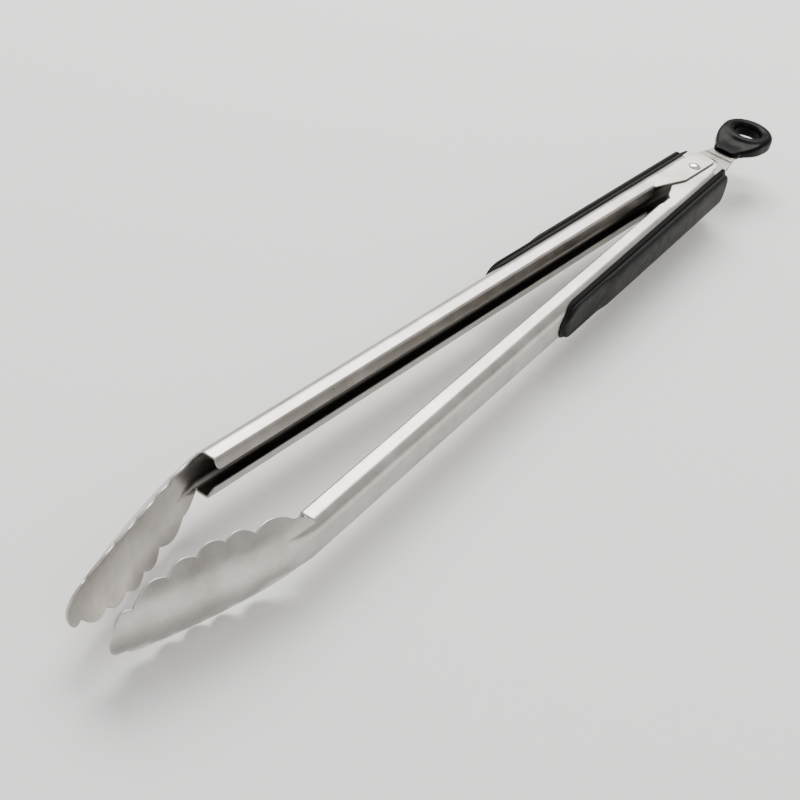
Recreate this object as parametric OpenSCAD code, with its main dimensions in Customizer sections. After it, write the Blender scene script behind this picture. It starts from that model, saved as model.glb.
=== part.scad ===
// Spring loaded kitchen tongs: two stamped channel arms with scalloped scoop heads, hinged on one
// rivet, pushed apart by a torsion spring, and held shut by a lock plate that the pull ring moves.
// The tongs lie on their side: the rivet stands along Z, the heads point along +X.

/* [Arms] */
// Distance from the rivet to the tip of a head, along an arm
arm_l = 356.4; // [300:0.5:380]
// Height of an arm's channel, flange to flange
arm_h = 15.5; // [14.5:0.1:17]
// Distance from an arm's centre line to the outside of its web
web_v = 9.75; // [9.5:0.05:11]
// Distance from an arm's centre line to the inner edge of its flanges
edge_v = 2.2; // [1.8:0.1:2.6]
// Thickness of the stainless sheet
sheet = 0.9; // [0.8:0.05:1]
// Outer radius of the bend between web and flange
bend_r = 3.9; // [3:0.1:4.5]
// Length of the lip along each flange's inner edge
lip_l = 3.4; // [2:0.1:4]
// Lean of the lips towards the other arm
lip_lean = 15; // [0:1:20]
// Half of the angle between the arms as they are stored, held by the lock
half_angle = 2.64; // [2.4:0.02:3]

/* [Heads] */
// Where the flanges end and a head begins, from the rivet
neck_u = 284; // [270:1:290]
// How far a head's tip bends in towards the other head
head_drop = 18.31; // [17:0.01:19.5]
// Radius of a head's hollow, across its width
scoop_r = 18; // [17:0.5:24]
// Height of the scallops above the notches
scallop_h = 1.9; // [1:0.1:2.5]

/* [Pivot] */
// Radius of the rivet's shank
rivet_r = 1.9; // [1.7:0.05:2.1]
// Radius of the rivet's domed heads
dome_r = 2.5; // [2.3:0.1:3.2]
// Radius of the ears' rounded rear end
ear_r = 11.4; // [11:0.1:12]
// How far an ear reaches past its arm's centre line
ear_reach = 2.9; // [2.7:0.1:3.5]
// Gap between parts that slide on each other
gap = 0.1; // [0.05:0.01:0.12]

/* [Spring] */
// Diameter of the spring wire
wire_d = 1.3; // [1:0.1:1.4]
// Radius of the coil, to the middle of the wire
coil_r = 4.0; // [3.8:0.1:4.3]
// Turns in the coil
coil_turns = 3.5; // [2.5:1:3.5]

/* [Lock] */
// Half width of the lock plate between the arms
plate_w = 7.3; // [6.5:0.1:7.4]
// Thickness of the lock plate
plate_t = 1.0; // [0.8:0.1:1.2]
// Height of the lock plate and the ring above the middle of the arms
plate_z = 2.9; // [2.6:0.1:3]
// Travel of the lock plate from pulled out to pushed in
lock_travel = 18; // [10:0.5:18]
// Distance from the rivet to the middle of the pull ring
ring_x = 51.5; // [50:0.5:60]
// Outer radius of the pull ring
ring_r = 10.7; // [10:0.1:12]
// Radius of the hanging hole at its waist
hole_r = 5.5; // [4:0.1:6]
// Half height of the pull ring
ring_h = 3.1; // [3:0.1:4]

/* [Grips] */
// Where a grip's rounded front end reaches, from the rivet
grip_l = 133; // [110:1:150]
// Thickness of the hard grip base over the web
base_t = 1.4; // [1:0.1:2]
// Thickness of the soft skin over the grip base
skin_t = 1.8; // [1.2:0.1:2.5]

/* [Hidden] */
$fn = 64;

// Vertical levels at the pivot, above the middle of the arms
ear_z = arm_h / 2 - sheet;              // inside of the right arm's ears
inner_h = 2 * (ear_z - gap);            // height of the left arm's rear end, inside the right arm's ears
sleeve_h = inner_h - 2 * sheet - 2 * gap;
sleeve_r = 2.5;
dome_h = 1.1;

// Lengths along an arm, from the rivet
web_start = -4;                         // rear end of the web
lip_start = 28.6;                       // rear end of the lips, in front of the ears
joggle_start = 33;                      // where the left arm begins to widen to its full height
joggle_end = 39;
ear_flat = 12;                          // how far the ear's straight inner edge reaches

// Outline of a head: the notches between its scallops, as [distance from the rivet, half width]
tip_l = arm_l - 349.2;
notches = [[293.5, 11.7], [307.2, 12.9], [317, 14.1], [327, 13.5], [337.2, 11.9], [349.2, 7.5]];
head_u = neck_u;                        // where the head's centre line starts to bend in
head_power = 1.4;
neck_l = 18;                            // length over which the channel turns into the scoop
half_w = 15.7;                          // widest half width of a head, over its scallops

// Origin: middle of the box at its lowest point
rear_x = -(ring_x + ring_r);
front_x = arm_l * cos(half_angle) + 0.4;
shift_x = -(rear_x + front_x) / 2;
shift_z = half_w;

module placed() translate([shift_x, 0, shift_z]) children();

// ---- the two arms' places: an arm is drawn along +X with its web towards +Y ----
module left_side() placed() rotate([0, 0, half_angle]) children();
module right_side() placed() rotate([0, 0, -half_angle]) mirror([0, 1, 0]) children();

// Runs a profile drawn as (towards the web, up) along the arm from u0 to u1
module along_arm(u0, u1) translate([u0, 0, 0]) rotate([90, 0, 90]) linear_extrude(u1 - u0) children();

// A rectangle whose two corners on the web side are round
module web_block(v0, v1, h, r) {
    translate([v0, -h / 2]) square([v1 - v0 - r, h]);
    translate([v0, -h / 2 + r]) square([v1 - v0, h - 2 * r]);
    for (s = [-1, 1]) translate([v1 - r, s * (h / 2 - r)]) circle(r);
}

// Web and flanges in one bent sheet, open towards the other arm
module channel(h) difference() {
    web_block(edge_v + sheet, web_v, h, bend_r);
    web_block(edge_v - 1, web_v - sheet, h - 2 * sheet, bend_r - sheet);
}

// The lips and their bends at the flanges' inner edges
module lips(h) for (s = [-1, 1]) mirror([0, (1 - s) / 2])
    translate([edge_v + sheet, h / 2 - sheet]) intersection() {
        union() {
            circle(sheet);
            rotate(-lip_lean) translate([-sheet, -lip_l]) square([sheet, lip_l]);
        }
        translate([-5, -6]) square([5.01, 8]);
    }

// The ear, seen from above: a straight inner edge that slopes back to the flange, and a round rear end
module ear_outline() {
    intersection() {
        translate([-ear_r, -ear_reach]) square([2 * ear_r, ear_reach + web_v - bend_r]);
        circle(ear_r);
    }
    polygon([[0, -ear_reach], [ear_flat, -ear_reach], [23.4, 0.7], [lip_start, edge_v],
             [lip_start + 6, edge_v], [lip_start + 6, web_v - bend_r], [0, web_v - bend_r]]);
}

// Two ears, at the given height outside
module ears(h) for (s = [-1, 1]) translate([0, 0, s * (h - sheet) / 2])
    linear_extrude(sheet, center = true) ear_outline();

// The round flange bend beside the ears, cut to the ears' round end
module rear_channel(h, u1) intersection() {
    along_arm(-ear_r, u1) channel(h);
    union() {
        cylinder(h = h + 2, r = ear_r, center = true);
        translate([0, 0, -h]) cube([u1, web_v + 1, 2 * h]);
    }
    translate([web_start, -1, -h]) cube([u1 + ear_r, web_v + 2, 2 * h]);
}

// ---- the scoop head, a sheet whose sections follow simple formulas ----
function smooth(t) = t <= 0 ? 0 : t >= 1 ? 1 : t * t * (3 - 2 * t);
function centre_v(u) = web_v - (u <= head_u ? 0 : head_drop * pow((u - head_u) / (arm_l - head_u), head_power));
// Drop of the section towards the other arm at height z: a bent web turns into a round hollow
function over(z) = max(abs(z) - (arm_h / 2 - bend_r), 0);
function bent(z) = bend_r - sqrt(max(bend_r * bend_r - pow(min(over(z), bend_r - 0.4), 2), 0));
function blend(u) = smooth((u - neck_u) / neck_l);
function section_drop(u, z) = (1 - blend(u)) * bent(z) + blend(u) * z * z / (2 * scoop_r);
// Half width: scallops stand as arcs on the line from notch to notch
function scallop(u, a, b, h) = let (t = (u - a[0]) / (b[0] - a[0]))
    a[1] + (b[1] - a[1]) * t + h * pow(sin(180 * t), 0.8);
function rise(k) = k == 0 ? 2.1 : k == 4 ? 1.35 * scallop_h : scallop_h;
function neck_w_at(t) = 7 + (notches[0][1] - 7) * sin(90 * max(t, 0));
function tip_w(t) = notches[5][1] * sqrt(max(1 - pow(t, 2.4), 0)) + 0.9 * sin(180 * t);
function span(u) = [for (k = [0:4]) if (u >= notches[k][0] && u <= notches[k + 1][0]) k][0];
function half_width(u) =
    u <= notches[0][0] ? neck_w_at((u - neck_u - 0.5) / (notches[0][0] - neck_u - 0.5))
    : u >= notches[5][0] ? tip_w((u - notches[5][0]) / tip_l)
    : scallop(u, notches[span(u)], notches[span(u) + 1], rise(span(u)));

// Rows of the head along the arm: each scallop has the same number, and the tip is rounded off finely
row_n = 8;
row_u = concat([neck_u - 1.5, neck_u + 0.5, neck_u + 1.3, neck_u + 4, neck_u + 6.5],
    [for (k = [0:4]) for (i = [0:row_n - 1]) notches[k][0] + (notches[k + 1][0] - notches[k][0]) * i / row_n],
    [for (i = [0:row_n]) notches[5][0] + tip_l * sin(90 * i / row_n) * 0.995]);
col_n = 12;
function slope(u, z) = (section_drop(u, z + 0.05) - section_drop(u, z - 0.05)) / 0.1;
function face(u, z, depth) = let (s = slope(u, z), q = sqrt(1 + s * s))
    [u, centre_v(u) - section_drop(u, z) - depth / q, z - depth * s / q];
// The head's rear edge is thinner, and lies inside the channel's sheet
function rim_inset(u) = u < neck_u + 1 ? 0.22 : 0;
head_points = [for (u = row_u) let (w = half_width(u), d = rim_inset(u)) for (side = [0, 1]) for (j = [0:col_n])
    face(u, w * (side == 0 ? 2 * j / col_n - 1 : 1 - 2 * j / col_n), side == 0 ? d : sheet - d)];
ring_n = 2 * (col_n + 1);
// Triangles that close an end row, from its outer edge across the sheet
function end_cap(first) = [for (j = [0:col_n - 1]) let (a = first + j, b = first + ring_n - 1 - j)
    each [[a, a + 1, b], [a + 1, b - 1, b]]];
function reversed(faces) = [for (f = faces) [f[2], f[1], f[0]]];
head_faces = concat(
    end_cap(0),
    [for (i = [0:len(row_u) - 2]) for (j = [0:ring_n - 1])
        let (a = i * ring_n + j, b = i * ring_n + (j + 1) % ring_n)
        each [[a, a + ring_n, b], [b, a + ring_n, b + ring_n]]],
    reversed(end_cap((len(row_u) - 1) * ring_n)));
module head() polyhedron(points = head_points, faces = head_faces, convexity = 6);

// ---- arms ----
module bores() cylinder(h = 2 * arm_h, r = rivet_r + gap / 2, center = true);

module right_arm() color("gainsboro") right_side() {
    difference() {
        union() {
            rear_channel(arm_h, neck_u);
            along_arm(lip_start, neck_u) lips(arm_h);
            ears(arm_h);
        }
        bores();
    }
    head();
}

// The left arm's rear end is one sheet lower on each side, so that it fits inside the right arm's ears
module joggle() for (s = [-1, 1]) mirror([0, 0, (1 - s) / 2]) translate([0, edge_v, 0]) rotate([90, 0, 0])
    mirror([0, 0, 1]) linear_extrude(web_v - bend_r / 2 - edge_v)
        polygon([[joggle_start - 1, inner_h / 2 - sheet], [joggle_start, inner_h / 2 - sheet],
                 [joggle_end, arm_h / 2 - sheet], [joggle_end + 1, arm_h / 2 - sheet],
                 [joggle_end + 1, arm_h / 2], [joggle_end, arm_h / 2],
                 [joggle_start, inner_h / 2], [joggle_start - 1, inner_h / 2]]);

module left_arm() color("gainsboro") left_side() {
    difference() {
        union() {
            rear_channel(inner_h, joggle_end);
            joggle();
            along_arm(joggle_end, neck_u) channel(arm_h);
            along_arm(joggle_end, neck_u) lips(arm_h);
            ears(inner_h);
        }
        bores();
    }
    head();
}

// ---- grips: a hard base clipped round the web, and a soft skin with a thumb scoop ----
grip_rear = -9.5;
wrap_v = 7.6;                           // how far the base wraps over the flanges
wrap_t = 0.5;                           // its thickness there
grip_end_r = 9;
skin_inset = 1.6;                       // rim of the base left round the skin
seat = 0.05;                            // air between a grip part and what it sits on
thumb_r = 120;                          // radius of the thumb scoop
thumb_floor = 0.8;                      // skin left under it
thumb_back = 19;                        // how far it lies behind the front end
module grip_side(margin) rotate([-90, 0, 0]) linear_extrude(2 * web_v) {
    translate([grip_rear + margin, -arm_h]) square([grip_l - grip_end_r - grip_rear - margin, 2 * arm_h]);
    translate([grip_l - grip_end_r, 0]) circle(grip_end_r - margin);
}
// Section of the base: a shell round the web and its two bends
module base_section() difference() {
    web_block(0, web_v + base_t, arm_h + 2 * wrap_t, bend_r + wrap_t);
    web_block(-1, web_v + seat, arm_h + 2 * seat, bend_r + seat);
    translate([-1, -arm_h]) square([wrap_v + 1, 2 * arm_h]);
}
module grip_base() intersection() {
    along_arm(grip_rear, grip_l) base_section();
    grip_side(0);
}
skin_v = web_v + base_t + seat;
// Section of the skin: a pad with two round corners, lying on the base
module skin_section() intersection() {
    web_block(skin_v, web_v + base_t + skin_t, arm_h - 1.2, skin_t - 0.1);
    translate([skin_v, -arm_h]) square([skin_t, 2 * arm_h]);
}
module grip_skin() difference() {
    intersection() {
        along_arm(grip_rear, grip_l) skin_section();
        grip_side(skin_inset);
    }
    // thumb scoop: a long shallow hollow near the front end
    translate([grip_l - thumb_back, web_v + base_t + thumb_floor + thumb_r, 0])
        cylinder(h = 2 * arm_h, r = thumb_r, center = true, $fn = 128);
}
module left_grip_base() color("dimgray") left_side() grip_base();
module right_grip_base() color("dimgray") right_side() grip_base();
module left_grip_skin() color("darkslategray") left_side() grip_skin();
module right_grip_skin() color("darkslategray") right_side() grip_skin();

// ---- pivot ----
module pivot_rivet() color("silver") placed() {
    cylinder(h = arm_h + 2 * gap, r = rivet_r, center = true);
    for (s = [-1, 1]) mirror([0, 0, (1 - s) / 2]) translate([0, 0, arm_h / 2 + gap / 2]) intersection() {
        cylinder(h = dome_h, r = dome_r);
        translate([0, 0, dome_h - 4]) sphere(4);
    }
}
module spacer_sleeve() color("lightgray") placed() difference() {
    cylinder(h = sleeve_h, r = sleeve_r, center = true);
    cylinder(h = sleeve_h + 2, r = rivet_r, center = true);
}

// Torsion spring: a coil round the sleeve under the lock plate, with a leg along each arm's web
wire_sides = 8;
leg_l = 24;
coil_step = 15;
pitch = wire_d + 0.12;
coil_z0 = plate_z - plate_t / 2 - 0.3 - wire_d / 2 - pitch * coil_turns;
// The left leg leaves the coil at its bottom turn, the right leg at its top turn
leg_out = leg_l * sin(half_angle) + web_v - sheet - wire_d / 2 - 0.25;
leg_mid = (coil_r + leg_out) / 2;
coil_top = coil_z0 + pitch * coil_turns;
coil_path = concat(
    [[leg_l, leg_out, coil_z0], [leg_l / 2, leg_mid, coil_z0]],
    [for (i = [0:coil_turns * 360 / coil_step]) let (a = 90 + i * coil_step)
        [coil_r * cos(a), coil_r * sin(a), coil_z0 + pitch * i * coil_step / 360]],
    [[leg_l / 2, -leg_mid, coil_top], [leg_l, -leg_out, coil_top]]);
function tangent(p, i) = let (d = p[min(i + 1, len(p) - 1)] - p[max(i - 1, 0)]) d / norm(d);
function around(n, m, a) = wire_d / 2 * (cos(a) * n + sin(a) * m);
function ring_at(p, i) = let (t = tangent(p, i), side = cross([0, 0, 1], t), n = side / norm(side))
    [for (k = [0:wire_sides - 1]) p[i] + around(n, cross(t, n), 360 * k / wire_sides)];
module wire(p) polyhedron(
    points = [for (i = [0:len(p) - 1]) each ring_at(p, i)],
    faces = concat([[for (k = [0:wire_sides - 1]) wire_sides - 1 - k]],
        [for (i = [0:len(p) - 2]) for (k = [0:wire_sides - 1])
            let (a = i * wire_sides + k, b = i * wire_sides + (k + 1) % wire_sides)
            each [[a, b, a + wire_sides], [b, b + wire_sides, a + wire_sides]]],
        [[for (k = [0:wire_sides - 1]) (len(p) - 1) * wire_sides + k]]), convexity = 10);
module torsion_spring() color("lightslategray") placed() wire(coil_path);

// ---- lock plate and pull ring ----
plate_front = 7;
taper_x = -19;
neck_x = -31;
neck_w = 5;
tongue_x = -40;
slot_w = sleeve_r + gap;
module plate_outline() difference() {
    polygon([[plate_front, plate_w - 2], [plate_front - 2, plate_w], [taper_x, plate_w], [neck_x, neck_w],
             [tongue_x, neck_w - 1], [tongue_x, 1 - neck_w], [neck_x, -neck_w], [taper_x, -plate_w],
             [plate_front - 2, -plate_w], [plate_front, 2 - plate_w]]);
    circle(slot_w);
    translate([-lock_travel, 0]) circle(slot_w);
    translate([-lock_travel, -slot_w]) square([lock_travel, 2 * slot_w]);
}
module lock_plate() color("silver") placed() translate([0, 0, plate_z])
    linear_extrude(plate_t, center = true) plate_outline();

// The ring's section: rounded outside, flared into the hanging hole above and below its waist
ring_round = 2.5;
flare_r = 1.9;
module ring_section() translate([hole_r, 0]) {
    translate([0, -ring_h + flare_r]) square([flare_r + 0.01, 2 * (ring_h - flare_r)]);
    for (s = [-1, 1]) translate([flare_r, s * (ring_h - flare_r)]) circle(flare_r);
    intersection() {
        union() {
            translate([0, -ring_h]) square([ring_r - hole_r - ring_round, 2 * ring_h]);
            translate([0, -ring_h + ring_round]) square([ring_r - hole_r, 2 * (ring_h - ring_round)]);
            for (s = [-1, 1]) translate([ring_r - hole_r - ring_round, s * (ring_h - ring_round)])
                circle(ring_round);
        }
        translate([flare_r, -ring_h]) square([ring_r, 2 * ring_h]);
    }
}
module ring_neck() hull() {
    translate([neck_x - 2.5, 0, 0]) cylinder(h = plate_t + 2.2, r = neck_w + 0.8, center = true);
    translate([-ring_x, 0, 0]) cylinder(h = 2 * ring_h - 1.6, r = ring_r - 0.8, center = true);
}
module pull_ring() color("#202020") placed() translate([0, 0, plate_z]) difference() {
    union() {
        translate([-ring_x, 0, 0]) rotate_extrude() ring_section();
        difference() {
            ring_neck();
            translate([-ring_x, 0, 0]) cylinder(h = 20, r = hole_r + flare_r + 0.2, center = true);
        }
    }
    linear_extrude(plate_t, center = true) plate_outline();
}

left_arm();
right_arm();
left_grip_base();
right_grip_base();
left_grip_skin();
right_grip_skin();
pivot_rivet();
spacer_sleeve();
torsion_spring();
lock_plate();
pull_ring();
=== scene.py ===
import math

import bpy
import numpy as np
from mathutils import Matrix, Vector
from mathutils.geometry import delaunay_2d_cdt


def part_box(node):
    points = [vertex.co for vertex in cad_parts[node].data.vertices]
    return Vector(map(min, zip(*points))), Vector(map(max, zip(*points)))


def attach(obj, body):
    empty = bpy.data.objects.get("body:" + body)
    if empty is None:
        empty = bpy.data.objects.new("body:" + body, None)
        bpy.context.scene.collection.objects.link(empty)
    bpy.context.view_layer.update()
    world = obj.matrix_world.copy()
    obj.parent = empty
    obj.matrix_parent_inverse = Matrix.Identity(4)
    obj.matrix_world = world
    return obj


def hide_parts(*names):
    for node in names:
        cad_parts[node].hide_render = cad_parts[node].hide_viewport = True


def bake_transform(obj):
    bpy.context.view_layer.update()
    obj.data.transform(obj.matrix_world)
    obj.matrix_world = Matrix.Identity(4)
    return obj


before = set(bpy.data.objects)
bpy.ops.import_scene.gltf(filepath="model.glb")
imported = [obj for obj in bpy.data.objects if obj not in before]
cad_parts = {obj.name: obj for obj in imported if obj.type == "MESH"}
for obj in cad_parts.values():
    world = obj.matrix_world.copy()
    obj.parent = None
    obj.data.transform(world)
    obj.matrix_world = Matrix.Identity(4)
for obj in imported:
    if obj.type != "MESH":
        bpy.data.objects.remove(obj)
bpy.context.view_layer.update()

# Sizes are in millimetres, as in the design; a mesh is scaled to metres when it is made.
MM = 0.001
PI = math.pi
HALF_ANGLE = math.radians(2.64)
rivet_low, rivet_high = (np.array(corner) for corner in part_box("pivot_rivet"))
PIVOT = (rivet_low + rivet_high) / 2 / MM

# Arms
ARM_L, ARM_H, WEB_V, EDGE_V, SHEET = 356.4, 15.5, 9.75, 2.2, 0.9
BEND_R, LIP_R, LIP_L, LIP_TURN = 3.9, 1.05, 3.3, math.radians(75)
FLANGE = WEB_V - BEND_R - EDGE_V - LIP_R
REAR_H = 13.5
JOGGLE = (33.0, 39.0)
EAR_R, EAR_REACH, EAR_FLAT, WEB_START, LIP_START = 11.4, 2.9, 12.0, -4.0, 28.2
EAR_SLOPE = (23.4, 0.7)  # where an ear's inner edge, sloping back, turns towards the flange's edge
EAR_END = 28.6           # where it would meet the flange's edge
STEP_L, LIP_GROWS = 0.9, 1.2  # lengths of the step from ear to flange and of the lip's rounded rear end
BORE_R = 1.95
RIM = 0.28
ALMOST = 0.9996  # keeps the last row of a rounded end from closing to a line
NECK_U, HEAD_U, HEAD_DROP, HEAD_POWER, NECK_L, SCOOP_R = 284.0, 284.0, 18.31, 1.4, 18.0, 18.0
NOTCHES = [(293.5, 11.7), (307.2, 12.9), (317, 14.1), (327, 13.5), (337.2, 11.9), (349.2, 7.5)]
SCALLOPS = [2.1, 1.9, 1.9, 1.9, 2.565]
SCALLOP_POWER, TIP_POWER, TIP_SWELL = 0.8, 2.4, 0.9
NECK_HALF, HEAD_LAG = 7.5, 1.0      # the neck's half width, and how far past the neck the head's rows start
SPREAD_L = 12                       # length over which the head's columns become evenly spaced
CORNER_BACK, CORNER_L = 2.0, 3.0    # how far behind the neck a flange's rounded end starts, and its length
BEND_USED, BEND_RUNOUT = 3.15, 0.5  # how much of the bend the head keeps, and its slope past that
INSIDE_SHADE_END, INSIDE_SHADE_FADE = NECK_U - 8, 20  # where the painted shade inside the channel starts to fade, and over what length

# Grips
GRIP_REAR, GRIP_C, GRIP_END = -9.5, 123.2, 9.0
WRAP_S = 7.5
BASE_T, SKIN_T = 1.4, 1.8
SHELL_SEAT, SHELL_T, RIDGE_H, RIDGE_W = 0.03, 0.62, 0.62, 1.3
GROOVE_DEPTH, GROOVE_IN, GROOVE_W = 0.42, 2.05, 0.36
SHELL_SPAN, REAR_LEAD = 8.2, 0.6  # turn a place on the shell into its distance from the rim
CROWDING = 1.35                   # brings the shell's columns closer together near the rim

# Pad of a grip
PAD_REAR, PAD_FRONT, PAD_HALF, PAD_FLOOR = GRIP_REAR + 1.5, GRIP_C + 7.5, 6.75, WEB_V + 0.75
REAR_ROUND, REAR_CUT, REAR_POWER, REAR_RISE = 2.0, 2.6, 2.2, 1.4
FRONT_ROUND, FRONT_POWER = 5, 2.6
SIDE_POWER, CROWN_POWER = 0.62, 0.5
STEP_AT, STEP_RUN, STEP_DOWN = 95, 9.0, 0.95
DISH_AT, DISH_L, DISH_W, DISH_DEPTH, DISH_POWER, DISH_EDGE = 116.5, 15.5, 5.4, 0.75, 0.85, 4
THIN = 0.02                       # share of its height that the pad keeps at its two ends

# Lock
PLATE_Z, PLATE_T, PLATE_W, PLATE_FRONT = 2.9, 1.0, 7.3, 7.0
TAPER_X, NECK_X, NECK_W, TONGUE_X, SLOT_W, TRAVEL = -19.0, -31.0, 5.0, -40.0, 2.6, 18.0
RING_X, RING_R, HOLE_R, RING_H, FLARE_R = -51.5, 10.7, 5.5, 3.1, 1.9
PLATE_INSET, PLATE_CORNER_X, PLATE_CORNER_Y = 0.2, 2, 2.2
CREASE_X, CREASE_L, CREASE_DEPTH = -23.4, 2.4, 0.45
RING_CORNER, BODY_CORNER = 2.2, 1.25
BODY_X, BODY_FRONT_R, BODY_BACK_R = NECK_X - 2.5, NECK_W + 0.7, RING_R - 0.5
BODY_FRONT_H, BODY_BACK_H = 1.6, RING_H - 0.3
BODY_WIDENS, BODY_RISES = 1.25, 1.2  # how early the body reaches its full width and height
DENT_X, DENT_Z, DENT_L, DENT_W, DENT_H = -36.8, 3.3, 3.6, 4.2, 1.7
BODY_BLEND, HOLE_BLEND, DENT_BLEND = 1.0, 0.25, 1.0


def smooth(t):
    t = np.clip(t, 0.0, 1.0)
    return t * t * (3 - 2 * t)


# ---------------------------------------------------------------- meshes

def make(name, verts, faces, body, material, stands_for=(), normals=None, uvs=None, blend_to=None):
    """A mesh piece from points in the row frame, in millimetres."""
    mesh = bpy.data.meshes.new(name)
    mesh.from_pydata((np.asarray(verts) * MM).tolist(), [], [list(map(int, f)) for f in faces])
    mesh.validate()
    mesh.shade_smooth()
    if uvs is not None:
        layer = mesh.uv_layers.new(name="grain")
        index = np.empty(len(mesh.loops), dtype=np.int64)
        mesh.loops.foreach_get("vertex_index", index)
        layer.data.foreach_set("uv", (np.asarray(uvs)[index] * 0.01).astype(np.float32).ravel())
    if normals is not None:
        mesh.normals_split_custom_set_from_vertices([tuple(n) for n in np.asarray(normals)])
    mesh.materials.append(material)
    obj = bpy.data.objects.new(name, mesh)
    bpy.context.scene.collection.objects.link(obj)
    if blend_to is None:
        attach(obj, body)
    else:
        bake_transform(obj)
    if stands_for:
        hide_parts(*stands_for)
    return obj


def to_frame(points, side=None):
    """From an arm's own axes (along, towards the web, up), or from the pivot's, to the row frame."""
    p = np.array(points, float)
    if side is None:
        return p + PIVOT
    c, s = math.cos(HALF_ANGLE), math.sin(HALF_ANGLE)
    x = p[:, 0] * c - p[:, 1] * s
    y = p[:, 0] * s + p[:, 1] * c
    if side == "right":
        y = -y
    return np.stack([x, y, p[:, 2]], 1) + PIVOT


def turn_only(normals, side=None):
    return to_frame(normals, side) - PIVOT


def flipped(faces, side):
    return [tuple(reversed(f)) for f in faces] if side == "right" else faces


def unit(a):
    return a / np.maximum(np.linalg.norm(a, axis=-1, keepdims=True), 1e-12)


def thicken(verts, faces, normals, low, high, bulge, rings=8, uvs=None):
    """Gives a surface a thickness from low to high along its normals, with a rounded rim."""
    verts, normals = np.asarray(verts, float), np.asarray(normals, float)
    count = len(verts)
    low, high, bulge = (np.broadcast_to(np.asarray(x, float), (count,)) for x in (low, high, bulge))
    edges = {}
    for f in faces:
        for a, b in zip(f, list(f[1:]) + [f[0]]):
            edges[(a, b)] = True
    border = [e for e in edges if (e[1], e[0]) not in edges]
    outward = np.zeros_like(verts)
    for a, b in border:
        o = unit(np.cross(verts[b] - verts[a], (normals[a] + normals[b]) / 2))
        outward[a] += o
        outward[b] += o
    used = sorted({i for e in border for i in e})
    outward = unit(outward)
    row = {v: k for k, v in enumerate(used)}
    top = verts + normals * high[:, None]
    bottom = verts + normals * low[:, None]
    points, shading = [top, bottom], [normals, -normals]
    b = np.array(used)
    middle, half = (high[b] + low[b]) / 2, (high[b] - low[b]) / 2
    for k in range(1, rings):
        a = PI * k / rings
        n = normals[b] * math.cos(a) + outward[b] * math.sin(a)
        points.append(verts[b] + normals[b] * (middle + half * math.cos(a))[:, None]
                      + outward[b] * (bulge[b] * math.sin(a))[:, None])
        shading.append(n)
    made = [tuple(f) for f in faces] + [tuple(count + i for i in reversed(f)) for f in faces]

    def at(k, v):
        return v if k == 0 else count + v if k == rings else 2 * count + (k - 1) * len(used) + row[v]

    for x, y in border:
        for k in range(rings):
            made.append((at(k, y), at(k, x), at(k + 1, x), at(k + 1, y)))
    uv = None
    if uvs is not None:
        uvs = np.asarray(uvs, float)
        uv = np.concatenate([uvs, uvs] + [uvs[b]] * (rings - 1))
    return np.concatenate(points), made, np.concatenate(shading), uv


def grid_faces(rows, cols, closed=False):
    out = []
    for r in range(rows - 1):
        for c in range(cols if closed else cols - 1):
            d = (c + 1) % cols
            out.append((r * cols + c, r * cols + d, (r + 1) * cols + d, (r + 1) * cols + c))
    return out


def lathe(profile, segments=64):
    """Turns a profile of (radius, height), bottom to top on its outside, round the Z axis."""
    points = []
    for r, z in profile:
        for k in range(segments):
            a = 2 * PI * k / segments
            points.append((r * math.cos(a), r * math.sin(a), z))
    n = len(profile)
    faces = []
    for i in range(n - 1):
        for k in range(segments):
            j = (k + 1) % segments
            faces.append((i * segments + k, i * segments + j, (i + 1) * segments + j, (i + 1) * segments + k))
    if profile[0][0] > 1e-9 and profile[0] != profile[-1]:
        faces.append(tuple(reversed(range(segments))))
        faces.append(tuple((n - 1) * segments + k for k in range(segments)))
    return np.array(points), faces


def tube(path, radius, sides=20):
    """A round wire along a path, with rounded ends."""
    path = np.asarray(path, float)
    tangent = unit(np.gradient(path, axis=0))
    side = np.cross(tangent, [0.0, 0.0, 1.0])
    side = unit(side)
    up = np.cross(side, tangent)
    centres, radii = list(path), [radius] * len(path)
    sides_, ups = list(side), list(up)
    for first in (True, False):
        for k in (1, 2, 3):
            a = PI / 2 * k / 3
            off = radius * 0.45 * math.sin(a)
            r = max(radius * (0.55 + 0.45 * math.cos(a)), 0.05)
            if first:
                centres.insert(0, path[0] - tangent[0] * off)
                radii.insert(0, r)
                sides_.insert(0, side[0])
                ups.insert(0, up[0])
            else:
                centres.append(path[-1] + tangent[-1] * off)
                radii.append(r)
                sides_.append(side[-1])
                ups.append(up[-1])
    points = []
    for c, r, s, u in zip(centres, radii, sides_, ups):
        for k in range(sides):
            a = 2 * PI * k / sides
            points.append(c + r * (math.cos(a) * s + math.sin(a) * u))
    faces = grid_faces(len(centres), sides, closed=True)
    faces.append(tuple(reversed(range(sides))))
    faces.append(tuple((len(centres) - 1) * sides + k for k in range(sides)))
    return np.array(points), [tuple(reversed(f)) for f in faces]


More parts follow.
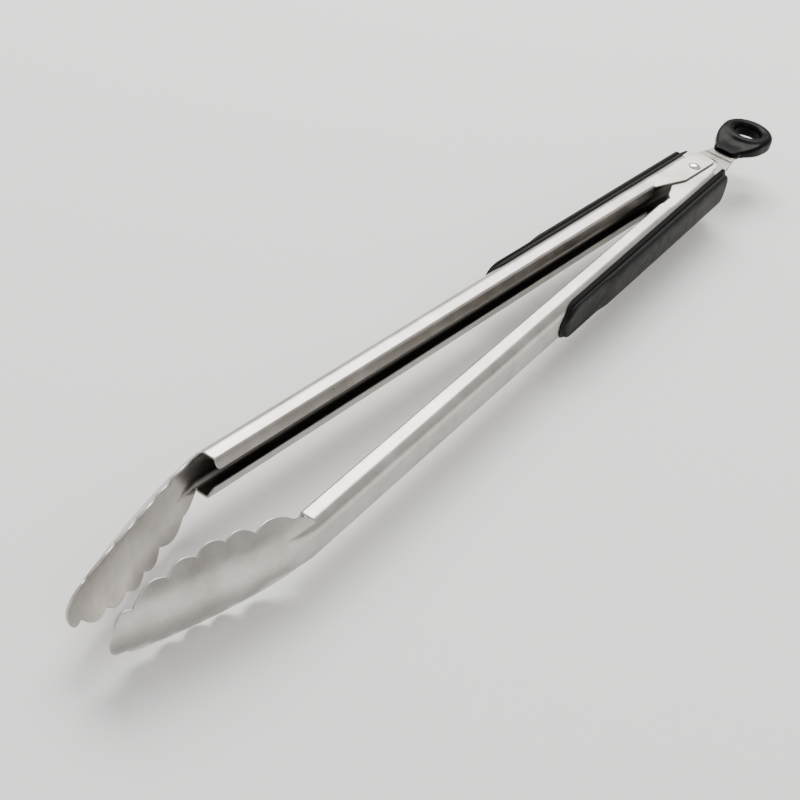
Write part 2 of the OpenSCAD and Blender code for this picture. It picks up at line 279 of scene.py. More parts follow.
def surface_net(field, low, high, step):
    """The zero surface of a signed distance field, as quads."""
    axes = [np.arange(a, b + step, step) for a, b in zip(low, high)]
    grid = np.meshgrid(*axes, indexing="ij")
    f = field(*grid)
    inside = f < 0
    shape = np.array(f.shape) - 1
    corners = [(i, j, k) for i in (0, 1) for j in (0, 1) for k in (0, 1)]
    count = sum(inside[i:i + shape[0], j:j + shape[1], k:k + shape[2]].astype(int) for i, j, k in corners)
    mixed = (count > 0) & (count < 8)
    index = -np.ones(mixed.shape, int)
    cells = np.argwhere(mixed)
    index[mixed] = np.arange(len(cells))
    total, hits = np.zeros((len(cells), 3)), np.zeros(len(cells))
    for c in corners:
        for axis in range(3):
            if c[axis]:
                continue
            d = list(c)
            d[axis] = 1
            fa, fb = f[tuple((cells + c).T)], f[tuple((cells + d).T)]
            cross = (fa < 0) != (fb < 0)
            t = np.where(cross, fa / np.where(cross, fa - fb, 1), 0)
            p = np.array(c, float) + t[:, None] * (np.array(d, float) - np.array(c, float))
            total[cross] += p[cross]
            hits[cross] += 1
    points = np.array(low) + (cells + total / hits[:, None]) * step
    e = step * 0.05
    for _ in range(4):
        value = field(*points.T)
        g = np.stack([(field(*(points + d).T) - field(*(points - d).T)) / (2 * e) for d in np.eye(3) * e], 1)
        points = points - np.clip(value, -step, step)[:, None] * g / np.maximum((g * g).sum(1), 0.05)[:, None]
    faces = []
    for axis in range(3):
        a = np.moveaxis(inside, axis, 0)
        ids = np.moveaxis(index, axis, 0)
        change = a[:-1] != a[1:]
        i, j, k = np.nonzero(change[:, 1:-1, 1:-1])
        j, k = j + 1, k + 1
        quad = np.stack([ids[i, j - 1, k - 1], ids[i, j, k - 1], ids[i, j, k], ids[i, j - 1, k]], 1)
        out = a[i, j, k]
        if axis == 1:
            out = ~out
        quad[~out] = quad[~out][:, ::-1]
        faces += [tuple(q) for q in quad.tolist()]
    return points, faces


# ---------------------------------------------------------------- materials

def new_material(name):
    m = bpy.data.materials.new(name)
    m.use_nodes = True
    tree = m.node_tree
    shader = next(n for n in tree.nodes if n.type == "BSDF_PRINCIPLED")
    return m, tree, shader


def add(tree, kind, **values):
    n = tree.nodes.new(kind)
    for k, v in values.items():
        setattr(n, k, v)
    return n


def noise(tree, vector, scale, detail=4.0, rough=0.55):
    n = add(tree, "ShaderNodeTexNoise")
    n.inputs["Scale"].default_value = scale
    n.inputs["Detail"].default_value = detail
    n.inputs["Roughness"].default_value = rough
    tree.links.new(vector, n.inputs["Vector"])
    return n.outputs["Fac"]


def stretch(tree, vector, x, y, z):
    n = add(tree, "ShaderNodeMapping")
    n.inputs["Scale"].default_value = (x, y, z)
    tree.links.new(vector, n.inputs["Vector"])
    return n.outputs["Vector"]


def ranged(tree, value, low, high, start=0.0, stop=1.0):
    n = add(tree, "ShaderNodeMapRange")
    n.inputs["From Min"].default_value = start
    n.inputs["From Max"].default_value = stop
    n.inputs["To Min"].default_value = low
    n.inputs["To Max"].default_value = high
    tree.links.new(value, n.inputs["Value"])
    return n.outputs["Result"]


def mixed_colour(tree, factor, a, b):
    n = add(tree, "ShaderNodeMix", data_type="RGBA")
    n.inputs["A"].default_value = (*a, 1)
    n.inputs["B"].default_value = (*b, 1)
    tree.links.new(factor, n.inputs["Factor"])
    return n.outputs["Result"]


def bump(tree, height, strength, distance, after=None):
    n = add(tree, "ShaderNodeBump")
    n.inputs["Strength"].default_value = strength
    n.inputs["Distance"].default_value = distance
    tree.links.new(height, n.inputs["Height"])
    if after is not None:
        tree.links.new(after, n.inputs["Normal"])
    return n.outputs["Normal"]


def coordinates(tree, which="Object"):
    return add(tree, "ShaderNodeTexCoord").outputs[which]


def brushed_steel(name, dark, light, rough, aniso, grain=1.0, along_uv=True):
    """Stainless steel, brushed along its length: fine streaks, cloudy patches, a slightly uneven polish."""
    m, tree, s = new_material(name)
    if along_uv:
        vector = add(tree, "ShaderNodeUVMap", uv_map="grain").outputs["UV"]
        fine = noise(tree, stretch(tree, vector, 4.0, 420.0, 1.0), 1.0, 6.0, 0.7)
        broad = noise(tree, stretch(tree, vector, 1.4, 60.0, 1.0), 1.0, 3.0)
    else:
        vector = coordinates(tree)
        fine = noise(tree, stretch(tree, vector, 400.0, 9000.0, 9000.0), 1.0, 5.0, 0.7)
        broad = noise(tree, stretch(tree, vector, 90.0, 1500.0, 1500.0), 1.0, 3.0)
    cloud = noise(tree, coordinates(tree), 70.0, 8.0, 0.68)
    tone = ranged(tree, cloud, 0.0, 1.0, 0.34, 0.68)
    s.inputs["Metallic"].default_value = 1.0
    tree.links.new(mixed_colour(tree, tone, dark, light), s.inputs["Base Color"])
    add_ = add(tree, "ShaderNodeMath", operation="ADD")
    tree.links.new(ranged(tree, broad, -0.035, 0.035, 0.3, 0.7), add_.inputs[0])
    tree.links.new(ranged(tree, cloud, rough - 0.03, rough + 0.04, 0.3, 0.7), add_.inputs[1])
    tree.links.new(add_.outputs[0], s.inputs["Roughness"])
    s.inputs["Anisotropic"].default_value = aniso
    if along_uv:
        tangent = add(tree, "ShaderNodeTangent", direction_type="UV_MAP", uv_map="grain")
        tree.links.new(tangent.outputs["Tangent"], s.inputs["Tangent"])
    n1 = bump(tree, fine, 0.10 * grain, 0.00004)
    n2 = bump(tree, broad, 0.05 * grain, 0.0002, n1)
    tree.links.new(bump(tree, cloud, 0.05 * grain, 0.0006, n2), s.inputs["Normal"])
    return m


def shade_inside_channel(m, colour):
    """Paints shade into a steel's colour: near black where the mesh says that it is the inside of a pressing.
    """
    tree = m.node_tree
    s = next(n for n in tree.nodes if n.type == "BSDF_PRINCIPLED")
    plain = s.inputs["Base Color"].links[0].from_socket
    where = add(tree, "ShaderNodeAttribute", attribute_name="inside").outputs["Fac"]
    mix = add(tree, "ShaderNodeMix", data_type="RGBA")
    tree.links.new(ranged(tree, where, 0.0, 0.9), mix.inputs["Factor"])
    tree.links.new(plain, mix.inputs["A"])
    mix.inputs["B"].default_value = (*colour, 1)
    tree.links.new(mix.outputs["Result"], s.inputs["Base Color"])


def moulded(name, dark, light, rough, grain_scale, grain_depth, coat=0.0, specular=0.5):
    """Moulded plastic or rubber: a fine grain, faint wear patches and a slightly uneven gloss."""
    m, tree, s = new_material(name)
    vector = coordinates(tree)
    fine = noise(tree, vector, grain_scale, 3.0, 0.6)
    cloud = noise(tree, vector, 60.0, 4.0)
    wear = noise(tree, vector, 260.0, 5.0, 0.65)
    tone = ranged(tree, cloud, 0.0, 1.0, 0.35, 0.7)
    tree.links.new(mixed_colour(tree, tone, dark, light), s.inputs["Base Color"])
    tree.links.new(ranged(tree, wear, rough - 0.05, rough + 0.07, 0.3, 0.7), s.inputs["Roughness"])
    s.inputs["IOR"].default_value = 1.5
    s.inputs["Coat Weight"].default_value = coat
    s.inputs["Coat Roughness"].default_value = 0.12
    s.inputs["Specular IOR Level"].default_value = specular
    n1 = bump(tree, fine, 0.35, grain_depth)
    tree.links.new(bump(tree, cloud, 0.06, 0.0008, n1), s.inputs["Normal"])
    return m


ARM_STEEL = brushed_steel("arm_steel", (0.42, 0.393, 0.366), (0.61, 0.583, 0.552),
                          0.31, 0.5)
# painted shade: the channel's inner faces get a near-black colour that stands in for the shadow inside it
shade_inside_channel(ARM_STEEL, (0.075, 0.069, 0.062))
PLATE_STEEL = brushed_steel("plate_steel", (0.24, 0.225, 0.205), (0.34, 0.325, 0.30),
                            0.34, 0.3, 1.2, along_uv=False)
WIRE_STEEL = brushed_steel("spring_wire", (0.36, 0.36, 0.37), (0.48, 0.48, 0.49),
                           0.30, 0.2, 0.8, along_uv=False)
RIVET_STEEL = brushed_steel("rivet_steel", (0.66, 0.66, 0.65), (0.76, 0.76, 0.75),
                            0.14, 0.0, 0.4, along_uv=False)
GRIP_PLASTIC = moulded("grip_plastic", (0.004, 0.0038, 0.0038), (0.007, 0.0067, 0.0065),
                       0.42, 2600.0, 0.00003, specular=0.07)
GRIP_RUBBER = moulded("grip_rubber", (0.006, 0.0057, 0.0055), (0.010, 0.0095, 0.0092),
                      0.50, 3200.0, 0.00004, specular=0.08)
RING_PLASTIC = moulded("ring_plastic", (0.002, 0.002, 0.0021), (0.0035, 0.0035, 0.0037),
                       0.32, 1800.0, 0.000012, coat=0.01, specular=0.05)


# ---------------------------------------------------------------- arms

def channel(u, s, height, lip_turn):
    """Outer face of the bent sheet at distance s from the middle of the web, and its normal."""
    flat = height / 2 - BEND_R
    a, sign = np.abs(s), np.where(s < 0, -1.0, 1.0)
    end_bend = flat + BEND_R * PI / 2
    end_flange = end_bend + FLANGE
    end_lip = end_flange + LIP_R * lip_turn
    bend = np.clip((a - flat) / BEND_R, 0, PI / 2)
    lip = np.clip((a - end_flange) / LIP_R, 0, lip_turn)
    v = WEB_V - BEND_R + BEND_R * np.cos(bend) - np.clip(a - end_bend, 0, FLANGE) - LIP_R * np.sin(lip)
    z = flat + BEND_R * np.sin(bend) - np.maximum(flat - a, 0) - LIP_R * (1 - np.cos(lip))
    tail = np.maximum(a - end_lip, 0)
    v = v - math.cos(lip_turn) * tail
    z = z - math.sin(lip_turn) * tail
    angle = bend + lip
    point = np.stack([np.broadcast_to(u, v.shape), v, z * sign], -1)
    normal = np.stack([np.zeros_like(v), np.cos(angle), np.sin(angle) * sign], -1)
    return point, normal


def centre_v(u):
    t = np.maximum(u - HEAD_U, 0) / (ARM_L - HEAD_U)
    return WEB_V - HEAD_DROP * t ** HEAD_POWER


def drop(u, z):
    """How far the head's outer face lies inside its centre line at height z."""
    over = np.maximum(np.abs(z) - (ARM_H / 2 - BEND_R), 0)
    near = np.minimum(over, BEND_USED)
    bent = BEND_R - np.sqrt(BEND_R ** 2 - near ** 2) + (over - near) * BEND_RUNOUT
    k = smooth((u - NECK_U) / NECK_L)
    return (1 - k) * bent + k * z * z / (2 * SCOOP_R)


def half_width(u):
    tip_l = ARM_L - NOTCHES[5][0]
    if u <= NOTCHES[0][0]:
        start = NECK_U + HEAD_LAG
        turn = PI / 2 * (u - start) / (NOTCHES[0][0] - start)
        w = NECK_HALF + (NOTCHES[0][1] - NECK_HALF) * math.sin(turn)
    elif u >= NOTCHES[5][0]:
        t = (u - NOTCHES[5][0]) / tip_l
        w = NOTCHES[5][1] * math.sqrt(max(1 - t ** TIP_POWER, 0)) + TIP_SWELL * math.sin(PI * t)
    else:
        k = max(i for i in range(5) if u >= NOTCHES[i][0])
        (u0, w0), (u1, w1) = NOTCHES[k], NOTCHES[k + 1]
        t = (u - u0) / (u1 - u0)
        w = w0 + (w1 - w0) * t + SCALLOPS[k] * max(math.sin(PI * t), 0) ** SCALLOP_POWER
    return w


def ear_edge(u):
    """The ear's and the flange's inner edge, seen from above."""
    v = np.interp(u, [EAR_FLAT, EAR_SLOPE[0], EAR_END], [-EAR_REACH, EAR_SLOPE[1], EDGE_V])
    return v + (WEB_V - BEND_R - FLANGE - v) * smooth((u - (LIP_START - STEP_L)) / STEP_L)


NA_FLAT, NA_BEND, NB_FLANGE, NB_LIP, NB_TAIL = 8, 16, 8, 8, 8
NA = NA_FLAT + NA_BEND
NB = NB_FLANGE + NB_LIP + NB_TAIL
NC = NA + NB


def arm_surface(joggled):
    """The arm's outer face as points, faces, normals and grain coordinates, in the arm's own axes."""
    rise_full = BEND_R * PI / 2
    tail_full = FLANGE + LIP_R * LIP_TURN + LIP_L
    neck_flat = ARM_H / 2 - BEND_R
    s_full = neck_flat + rise_full + tail_full
    z_end = NECK_HALF - RIM
    s_end = neck_flat + BEND_R * math.asin((z_end - neck_flat) / BEND_R)
    b_fraction = np.concatenate([
        np.arange(1, NB_FLANGE + 1) / NB_FLANGE * FLANGE,
        FLANGE + np.arange(1, NB_LIP + 1) / NB_LIP * LIP_R * LIP_TURN,
        FLANGE + LIP_R * LIP_TURN + np.arange(1, NB_TAIL + 1) / NB_TAIL * LIP_L]) / tail_full

    us = [WEB_START, -1.0, 2.0, 5.0, 8.0, 10.0]
    us += list(np.linspace(EAR_FLAT, LIP_START - STEP_L, 12))
    us += list(LIP_START - STEP_L + STEP_L * np.arange(1, 7) / 6)
    us += list(LIP_START + LIP_GROWS * (1 - np.cos(PI / 2 * np.arange(1, 11) / 10)))
    us += [31.0] + list(np.linspace(*JOGGLE, 13))
    us += list(np.linspace(JOGGLE[1], NECK_U - CORNER_BACK, 34)[1:])
    corner = PI / 2 * (0.5 - 0.5 * np.cos(PI * np.arange(1, 21) / 20))
    us_corner = NECK_U - CORNER_BACK + CORNER_L * np.sin(corner) ** (2 / 3)
    points, normals, uvs, keep = [], [], [], []

    def row(u, s, height, turn, full=True):
        half = np.asarray(s)
        signed = np.concatenate([-half[::-1], [0.0], half])
        p, n = channel(u, signed, height, turn)
        points.append(p)
        normals.append(n)
        uvs.append(np.stack([np.full(len(signed), u), signed], 1))
        keep.append(full)

    def columns(flat, bend_end, last):
        a = np.concatenate([np.arange(1, NA_FLAT + 1) / NA_FLAT * flat,
                            flat + np.arange(1, NA_BEND + 1) / NA_BEND * (bend_end - flat)])
        return np.concatenate([a, bend_end + b_fraction * (last - bend_end)])

    for u in us:
        height = ARM_H
        if joggled:
            height = REAR_H + (ARM_H - REAR_H) * float(smooth((u - JOGGLE[0]) / (JOGGLE[1] - JOGGLE[0])))
        flat = height / 2 - BEND_R
        bend_end = flat + rise_full
        if u <= LIP_START:
            last = bend_end + WEB_V - BEND_R - float(ear_edge(u))
            turn = 0.0
        else:
            t = min((u - LIP_START) / LIP_GROWS, 1.0)
            last = bend_end + FLANGE + (tail_full - FLANGE) * math.sqrt(max(1 - (1 - t) ** 2, 0))
            turn = LIP_TURN
        row(u, columns(flat, bend_end, last), height, turn, u >= EAR_FLAT)
    for u, a in zip(us_corner, corner):
        last = s_end + (s_full - s_end) * max(math.cos(a), 0.0) ** (2 / 3)
        k = last / s_full
        row(u, columns(neck_flat * k, (neck_flat + rise_full) * k, last), ARM_H, LIP_TURN)
    # the head
    share = s_end / s_full
    end_fraction = columns(neck_flat * share, (neck_flat + rise_full) * share, s_end)
    end_fraction = np.concatenate([[0.0], end_fraction]) / s_end
    bend_z = neck_flat + BEND_R * np.sin(np.maximum(end_fraction * s_end - neck_flat, 0) / BEND_R)
    bend_z = np.where(end_fraction * s_end < neck_flat, end_fraction * s_end, bend_z) / z_end
    even = np.linspace(0, 1, NC + 1)
    head_us = list(np.linspace(NECK_U + HEAD_LAG, NOTCHES[0][0], 15)[1:])
    for k in range(5):
        a, b = NOTCHES[k][0], NOTCHES[k + 1][0]
        head_us += list(a + (b - a) * (0.5 - 0.5 * np.cos(PI * np.arange(1, 23) / 22)))
    tip = NOTCHES[5][0]
    head_us += list(tip + (ARM_L - RIM - tip) * np.sin(PI / 2 * np.arange(1, 19) / 18) * ALMOST)
    for u in head_us:
        shrink = (ARM_L - tip) / (ARM_L - RIM - tip)
        uw = u if u < tip else tip + (u - tip) * shrink
        w = max(half_width(uw) - RIM, 0.05)
        k = float(smooth((u - NECK_U) / SPREAD_L))
        z = w * ((1 - k) * bend_z + k * even)
        z = np.concatenate([-z[:0:-1], z])
        f = lambda du, dz: centre_v(u + du) - drop(u + du, z + dz)
        v, e = f(0, 0), 0.02
        along, across = (f(e, 0) - f(-e, 0)) / (2 * e), (f(0, e) - f(0, -e)) / (2 * e)
        n = unit(np.stack([-along, np.ones_like(z), -across], 1))
        points.append(np.stack([np.full_like(z, u), v, z], 1))
        normals.append(n)
        uvs.append(np.stack([np.full_like(z, u), z], 1))
        keep.append(True)

    width = 2 * NC + 1
    p, n, t = np.concatenate(points), np.concatenate(normals), np.concatenate(uvs)
    faces = []
    for r in range(len(points) - 1):
        lo, hi = (0, width - 1) if keep[r] else (NC - NA, NC + NA)
        for c in range(lo, hi):
            a = r * width + c
            faces.append((a, a + 1, a + width + 1, a + width))
    # the ears: flat, with the rivet's hole, joined to the rows above
    rear_rows = keep.index(True)
    height = REAR_H if joggled else ARM_H
    side_v = WEB_V - BEND_R
    arc = [math.asin(-EAR_REACH / EAR_R), math.asin(side_v / EAR_R)]
    turns = np.linspace(PI - arc[0], PI - arc[1], 40)
    free = [(x, -EAR_REACH) for x in np.linspace(EAR_FLAT, -EAR_R * math.cos(arc[0]), 12)[1:-1]]
    free += [(EAR_R * math.cos(a), EAR_R * math.sin(a)) for a in turns]
    free += [(x, side_v) for x in np.linspace(EAR_R * math.cos(turns[-1]), WEB_START, 6)[1:-1]]
    hole = [(BORE_R * math.cos(a), BORE_R * math.sin(a)) for a in np.arange(40) * 2 * PI / 40]
    for sign in (1, -1):
        join = [r * width + NC + sign * NA for r in range(rear_rows)]
        join += [rear_rows * width + NC + sign * c for c in range(NA, NC + 1)]
        loop = [(p[i][0], p[i][1]) for i in join] + free
        base = len(p)
        index = join + list(range(base, base + len(free) + len(hole)))
        new = free + hole
        p = np.concatenate([p, [(x, y, sign * height / 2) for x, y in new]])
        n = np.concatenate([n, [(0, 0, sign)] * len(new)])
        t = np.concatenate([t, [(x, sign * (height / 2 + rise_full + side_v - y)) for x, y in new]])
        count = len(loop)
        edges = [(i, (i + 1) % count) for i in range(count)]
        edges += [(count + i, count + (i + 1) % len(hole)) for i in range(len(hole))]
        flat = [Vector(q) for q in loop + hole]
        tris, origin = delaunay_2d_cdt(flat, edges, [], 1, 1e-7)[2:4]
        for tri in tris:
            ids = [origin[i][0] for i in tri]
            c = sum((flat[i] for i in ids), Vector((0, 0))) / 3
            if c.length < BORE_R * 0.98:
                continue
            a, b, d = (flat[i] for i in ids)
            ccw = (b - a).cross(d - a) > 0
            ids = [index[i] for i in ids]
            if ccw != (sign > 0):
                ids.reverse()
            faces.append(tuple(ids))
    used = sorted({i for f in faces for i in f})
    where = {v: k for k, v in enumerate(used)}
    return p[used], [tuple(where[i] for i in f) for f in faces], n[used], t[used]


def make_arm(side):
    p, f, n, t = arm_surface(side == "left")
    count = len(p)
    p, f, n, t = thicken(p, f, n, -SHEET, 0.0, RIM, 8, t)
    arm = make(f"{side}_arm_stamping", to_frame(p, side), flipped(f, side), f"{side}_half",
               ARM_STEEL, [f"{side}_arm"], turn_only(n, side), t)
    # painted shade: the inside of the channel is coloured near black, up to the head
    inside = np.zeros(len(p))
    inside[count:2 * count] = 1 - smooth((t[count:2 * count, 0] - INSIDE_SHADE_END) / INSIDE_SHADE_FADE)
    arm.data.attributes.new("inside", "FLOAT", "POINT").data.foreach_set("value", inside.astype(np.float32))


# ---------------------------------------------------------------- grips

def grip_shell(side):
    """The hard base: a shell round the web with a rounded raised rim and a groove inside it."""
    us = list(GRIP_REAR + RIM + np.linspace(0, GRIP_C - GRIP_REAR - RIM, 60))
    us += list(GRIP_C + (GRIP_END - RIM) * np.sin(PI / 2 * np.arange(1, 25) / 24) * ALMOST)
    c = np.linspace(-1, 1, 81)
    c = np.sign(c) * (1 - (1 - np.abs(c)) ** CROWDING)
    points, normals, high = [], [], []
    for u in us:
        k = math.sqrt(max(1 - (max(u - GRIP_C, 0) / (GRIP_END - RIM)) ** 2, 1e-6))
        s = c * (WRAP_S - RIM) * k
        p, n = channel(u, s, ARM_H, LIP_TURN)
        front = np.maximum(u - GRIP_C, 0) / (GRIP_END - RIM)
        inside = (1 - np.sqrt(front ** 2 + (s / (WRAP_S - RIM)) ** 2)) * SHELL_SPAN
        rear = u - GRIP_REAR - RIM
        d = np.maximum(np.minimum(inside, rear + REAR_LEAD), 0)
        ridge = SHELL_T + RIDGE_H * smooth(d / RIDGE_W)
        groove = GROOVE_DEPTH * np.exp(-((d - GROOVE_IN) / GROOVE_W) ** 2)
        points.append(p)
        normals.append(n)
        high.append(ridge - groove)
    p, n, h = np.concatenate(points), np.concatenate(normals), np.concatenate(high)
    f = grid_faces(len(us), len(c))
    p, f, n, _ = thicken(p, f, n, SHELL_SEAT, h, RIM, 8)
    make(f"{side}_grip_shell", to_frame(p, side), flipped(f, side), f"{side}_half",
         GRIP_PLASTIC, [f"{side}_grip_base"])


def grip_pad(side):
    """The soft skin: a crowned pad with rounded ends, stepped down and dished for the thumb."""
    us = list(PAD_REAR + REAR_ROUND * (1 - np.cos(PI / 2 * np.arange(1, 13) / 12)))
    us += list(np.linspace(PAD_REAR + REAR_ROUND, GRIP_C, 110)[1:])
    us += list(GRIP_C + (PAD_FRONT - GRIP_C) * np.sin(PI / 2 * np.arange(1, 25) / 24) * ALMOST)
    angles = np.linspace(0, PI, 73)
    rows = []
    for u in us:
        w = PAD_HALF * math.sqrt(max(1 - (max(u - GRIP_C, 0) / (PAD_FRONT - GRIP_C)) ** 2, 1e-5))
        w -= REAR_CUT * max(1 - (u - PAD_REAR) / REAR_ROUND, 0) ** REAR_POWER
        top = WEB_V + BASE_T + SKIN_T - STEP_DOWN * float(smooth((u - STEP_AT) / STEP_RUN))
        near_front = max(u - (PAD_FRONT - FRONT_ROUND), 0) / FRONT_ROUND
        rise = (top - PAD_FLOOR) * min(1.0, math.sqrt(max(1 - near_front ** FRONT_POWER, 0)) + THIN)
        near_rear = max(1 - (u - PAD_REAR) / REAR_RISE, 0)
        rise *= math.sqrt(max(1 - near_rear ** 2, 0)) * (1 - THIN) + THIN
        z = -w * np.sign(np.cos(angles)) * np.abs(np.cos(angles)) ** SIDE_POWER
        v = PAD_FLOOR + rise * np.abs(np.sin(angles)) ** CROWN_POWER
        dish = np.maximum(1 - ((u - DISH_AT) / DISH_L) ** 2 - (z / DISH_W) ** 2, 0)
        v = v - DISH_DEPTH * dish ** DISH_POWER * smooth(dish * DISH_EDGE)
        rows.append(np.stack([np.full_like(z, u), v, z], 1))
    p = np.concatenate(rows)
    cols = len(angles)
    f = grid_faces(len(us), cols)
    for r in range(len(us) - 1):
        f.append(((r + 1) * cols, (r + 1) * cols + cols - 1, r * cols + cols - 1, r * cols))
    f.append(tuple(reversed(range(cols))))
    f.append(tuple((len(us) - 1) * cols + k for k in range(cols)))
    make(f"{side}_grip_pad", to_frame(p, side), flipped(f, side), f"{side}_half",
         GRIP_RUBBER, [f"{side}_grip_skin"])


# ---------------------------------------------------------------- pivot

def make_rivet():
    top = ARM_H / 2 + 0.05
    dome = [(0.02, 1.02), (0.5, 1.0), (1.0, 0.93), (1.5, 0.78), (1.9, 0.58), (2.2, 0.38), (2.38, 0.22),
            (2.46, 0.1), (2.44, 0.02), (2.35, 0.0), (1.93, 0.0)]
    profile = [(1.9, 0.0)] + [(r, top + z) for r, z in reversed(dome)]
    full = [(r, -z) for r, z in reversed(profile)] + profile[1:]
    p, f = lathe(full, 72)
    make("rivet_peened", to_frame(p), f, "pivot", RIVET_STEEL, ["pivot_rivet"])


def make_sleeve():
    h, r0, r1, c = 5.75, 1.92, 2.5, 0.2
    profile = [(r0, -h + c), (r0 + c, -h), (r1 - c, -h), (r1, -h + c), (r1, h - c), (r1 - c, h),
               (r0 + c, h), (r0, h - c), (r0, -h + c)]
    p, f = lathe(profile, 64)
    make("sleeve_turned", to_frame(p), f, "pivot", PLATE_STEEL, ["spacer_sleeve"])


def make_spring():
    wire_r, coil_r, turns, leg = 0.65, 4.0, 3.5, 24.0
    pitch = 2 * wire_r + 0.12
    z0 = PLATE_Z - PLATE_T / 2 - 0.3 - wire_r - pitch * turns
    z1 = z0 + pitch * turns
    out = leg * math.sin(HALF_ANGLE) + WEB_V - SHEET - wire_r - 0.25
    a = PI / 2 + np.linspace(0, turns * 2 * PI, 260)
    coil = np.stack([coil_r * np.cos(a), coil_r * np.sin(a), z0 + pitch * (a - PI / 2) / (2 * PI)], 1)
    p, f = tube(coil, wire_r)
    make("spring_coil", to_frame(p), f, "pivot", WIRE_STEEL, ["torsion_spring"])
    for side, sign, z in (("left", 1, z0), ("right", -1, z1)):
        t = np.linspace(0, 1, 60)[:, None]
        start, end = np.array([0.0, sign * coil_r, z]), np.array([leg, sign * out, z])
        k0, k1 = np.array([9.0, 0, 0]), np.array([12.0, sign * 1.6, 0])
        path = (2 * t ** 3 - 3 * t ** 2 + 1) * start + (t ** 3 - 2 * t ** 2 + t) * k0
        path = path + (3 * t ** 2 - 2 * t ** 3) * end + (t ** 3 - t ** 2) * k1
        p, f = tube(path, wire_r * 0.99)
        make(f"spring_leg_{side}", to_frame(p), f, "pivot", WIRE_STEEL, (),
             blend_to=(f"{side}_half", tuple(to_frame([start])[0]), tuple(to_frame([end])[0])))


# ---------------------------------------------------------------- lock

def make_plate():
    """The slotted plate, with a shallow joggle pressed across it in front of the ring."""
    w = PLATE_W - PLATE_INSET

    def half(x):
        widths = [NECK_W - 1 - PLATE_INSET, NECK_W - PLATE_INSET, w]
        return float(np.interp(x, [TONGUE_X, NECK_X, TAPER_X], widths))

    creases = [CREASE_X - CREASE_L * k / 4 for k in range(5)]
    xs = [TAPER_X] + creases + [NECK_X, TONGUE_X + PLATE_INSET]
    front, corner = PLATE_FRONT - PLATE_INSET, w - PLATE_CORNER_Y
    upper = [(front, corner)]
    upper += [(front - PLATE_CORNER_X * (1 - math.cos(a)), corner + PLATE_CORNER_Y * math.sin(a))
              for a in np.linspace(0.15, PI / 2, 9)]
    upper += [(x, half(x)) for x in xs]
    loop = upper + [(x, -y) for x, y in reversed(upper)]
    slot_r = SLOT_W + PLATE_INSET
    slot = [(slot_r * math.cos(a), slot_r * math.sin(a)) for a in np.linspace(-PI / 2, PI / 2, 25)]
    slot += [(-TRAVEL - slot_r * math.cos(a), slot_r * math.sin(a)) for a in np.linspace(PI / 2, -PI / 2, 25)]
    flat = [Vector(q) for q in loop + slot]
    n1, n2 = len(loop), len(slot)
    edges = [(i, (i + 1) % n1) for i in range(n1)] + [(n1 + i, n1 + (i + 1) % n2) for i in range(n2)]
    for x in creases:
        ends = [i for i, q in enumerate(loop) if abs(q[0] - x) < 1e-9]
        edges.append(tuple(ends))
    tris, origin = delaunay_2d_cdt(flat, edges, [], 1, 1e-7)[2:4]
    faces = []
    for tri in tris:
        ids = [origin[i][0] for i in tri]
        c = sum((flat[i] for i in ids), Vector((0, 0))) / 3
        nearest = Vector((min(max(c.x, -TRAVEL), 0), 0))
        if (c - nearest).length < slot_r:
            continue
        a, b, d = (flat[i] for i in ids)
        faces.append(tuple(ids) if (b - a).cross(d - a) > 0 else tuple(reversed(ids)))
    xy = np.array([tuple(q) for q in flat])
    share = np.clip((CREASE_X - xy[:, 0]) / CREASE_L, 0, 1)
    z = PLATE_Z + PLATE_T / 2 - CREASE_DEPTH * smooth(share)
    slope = CREASE_DEPTH * 6 / CREASE_L * (share * (1 - share))
    n = unit(np.stack([-slope, np.zeros(len(xy)), np.ones(len(xy))], 1))
    p, f, n, _ = thicken(np.column_stack([xy, z]), faces, n, -PLATE_T, 0.0, PLATE_INSET, 6)
    make("lock_plate_pressed", to_frame(p), f, "lock", PLATE_STEEL, ["lock_plate"], n)


def smooth_union(a, b, k):
    h = np.clip(0.5 + 0.5 * (b - a) / k, 0, 1)
    return b * (1 - h) + a * h - k * h * (1 - h)


def smooth_cut(a, b, k):
    return -smooth_union(-a, b, k)


def rounded(a, b):
    """Distance to the corner that two distances make, round on its outside."""
    return np.sqrt(np.maximum(a, 0) ** 2 + np.maximum(b, 0) ** 2) + np.minimum(np.maximum(a, b), 0)


def ring_field(x, y, z):
    """The pull ring: a round ring with a flared hole, on a body that narrows smoothly to the plate."""
    z = z - PLATE_Z
    r = np.sqrt((x - RING_X) ** 2 + y ** 2)
    mid, half = (RING_R + HOLE_R) / 2, (RING_R - HOLE_R) / 2
    qx, qz = np.abs(r - mid) - (half - RING_CORNER), np.abs(z) - (RING_H - RING_CORNER)
    ring = rounded(qx, qz) - RING_CORNER
    # the body's outline is a cone between two circles, and its height grows towards the ring
    along = np.clip((BODY_X - x) / (BODY_X - RING_X), 0, 1)
    widening = np.sin(PI / 2 * np.clip(along * BODY_WIDENS, 0, 1))
    radius = BODY_FRONT_R + (BODY_BACK_R - BODY_FRONT_R) * widening
    side = np.sqrt((x - (BODY_X + (RING_X - BODY_X) * along)) ** 2 + y ** 2) - radius
    high = BODY_FRONT_H + (BODY_BACK_H - BODY_FRONT_H) * smooth(along * BODY_RISES)
    body = rounded(side + BODY_CORNER, np.abs(z) - (high - BODY_CORNER)) - BODY_CORNER
    body = smooth_union(ring, body * 0.95, BODY_BLEND)
    flare = np.maximum(np.abs(z) - (RING_H - FLARE_R), 0)
    bore = HOLE_R + FLARE_R - np.sqrt(np.maximum(FLARE_R ** 2 - flare ** 2, 0.02))
    body = smooth_cut(body, (r - bore) * 0.9, HOLE_BLEND)
    for level in (DENT_Z, -DENT_Z):
        flat = ((x - DENT_X) / DENT_L) ** 2 + (y / DENT_W) ** 2
        dent = np.sqrt(flat + ((z - level) / DENT_H) ** 2) - 1
        body = smooth_cut(body, dent * DENT_H, DENT_BLEND)
    return body


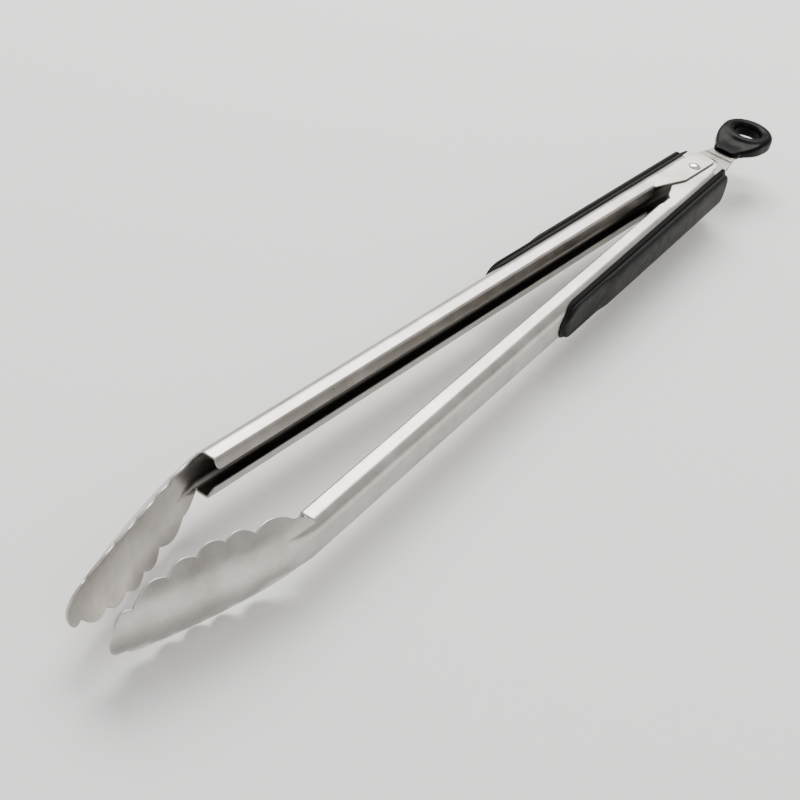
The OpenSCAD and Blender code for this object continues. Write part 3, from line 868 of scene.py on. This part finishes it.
def make_ring():
    step = 0.33
    low = (RING_X - RING_R - 1.1, -RING_R - 1.1, PLATE_Z - RING_H - 1.1)
    high = (NECK_X + 1.6, RING_R + 1.1, PLATE_Z + RING_H + 1.1)
    p, f = surface_net(ring_field, low, high, step)
    make("pull_ring_moulded", to_frame(p), f, "lock", RING_PLASTIC, ["pull_ring"])


for part_side in ("left", "right"):
    make_arm(part_side)
    grip_shell(part_side)
    grip_pad(part_side)
make_rivet()
make_sleeve()
make_spring()
make_plate()
make_ring()


# ---------------------------------------------------------------- stage, light, camera

floor_mesh = bpy.data.meshes.new("floor")
floor_corners = [(x * 4, y * 4, -0.0003) for x, y in ((-1, -1), (1, -1), (1, 1), (-1, 1))]
floor_mesh.from_pydata(floor_corners, [], [(0, 1, 2, 3)])
floor = bpy.data.objects.new("floor", floor_mesh)
bpy.context.scene.collection.objects.link(floor)
floor_material, _, floor_shader = new_material("floor")
floor_shader.inputs["Base Color"].default_value = (0.93, 0.925, 0.92, 1)
floor_shader.inputs["Roughness"].default_value = 0.9
floor_mesh.materials.append(floor_material)

world = bpy.data.worlds.new("studio")
bpy.context.scene.world = world
world.use_nodes = True
background = next(n for n in world.node_tree.nodes if n.type == "BACKGROUND")
background.inputs["Strength"].default_value = 0.8
sky = add(world.node_tree, "ShaderNodeSeparateXYZ")
world.node_tree.links.new(coordinates(world.node_tree, "Generated"), sky.inputs[0])
height = ranged(world.node_tree, sky.outputs["Z"], 0.0, 1.0, 0.02, 0.5)
sky_colour = mixed_colour(world.node_tree, height, (0.70, 0.69, 0.675), (0.95, 0.94, 0.925))
world.node_tree.links.new(sky_colour, background.inputs["Color"])


def softbox(name, where, at, width, height, power, colour=(1, 1, 1)):
    lamp = bpy.data.lights.new(name, "AREA")
    lamp.shape = "RECTANGLE"
    lamp.size, lamp.size_y = width, height
    lamp.energy = power
    lamp.color = colour
    obj = bpy.data.objects.new(name, lamp)
    bpy.context.scene.collection.objects.link(obj)
    obj.location = where
    obj.rotation_mode = "QUATERNION"
    obj.rotation_quaternion = (Vector(at) - Vector(where)).to_track_quat("-Z", "Y")
    return obj


softbox("key", (-0.9, -0.7, 1.3), (0, 0, 0), 1.4, 1.0, 44, (1.0, 0.985, 0.96))
softbox("fill", (0.9, 1.1, 1.1), (0, 0, 0), 1.2, 1.2, 6, (0.97, 0.985, 1.0))

camera = bpy.data.cameras.new("camera")
camera.lens = 87.74
camera.sensor_width = 36.0
camera.dof.use_dof = False
view = bpy.data.objects.new("camera", camera)
bpy.context.scene.collection.objects.link(view)
azimuth, elevation, roll, distance = math.radians(115.75), math.radians(35.94), math.radians(14.04), 617.5
aim = Vector(PIVOT + np.array([209.06, 0.9, 0.0]))
level = math.cos(elevation)
back = Vector((math.sin(azimuth) * level, -math.cos(azimuth) * level, math.sin(elevation)))
right = (-back).cross(Vector((0, 0, 1))).normalized()
up = right.cross(-back)
right, up = right * math.cos(roll) + up * math.sin(roll), up * math.cos(roll) - right * math.sin(roll)
turned = Matrix((right, up, back)).transposed().to_4x4()
view.matrix_world = Matrix.Translation((aim + back * distance) * MM) @ turned
bpy.context.scene.camera = view
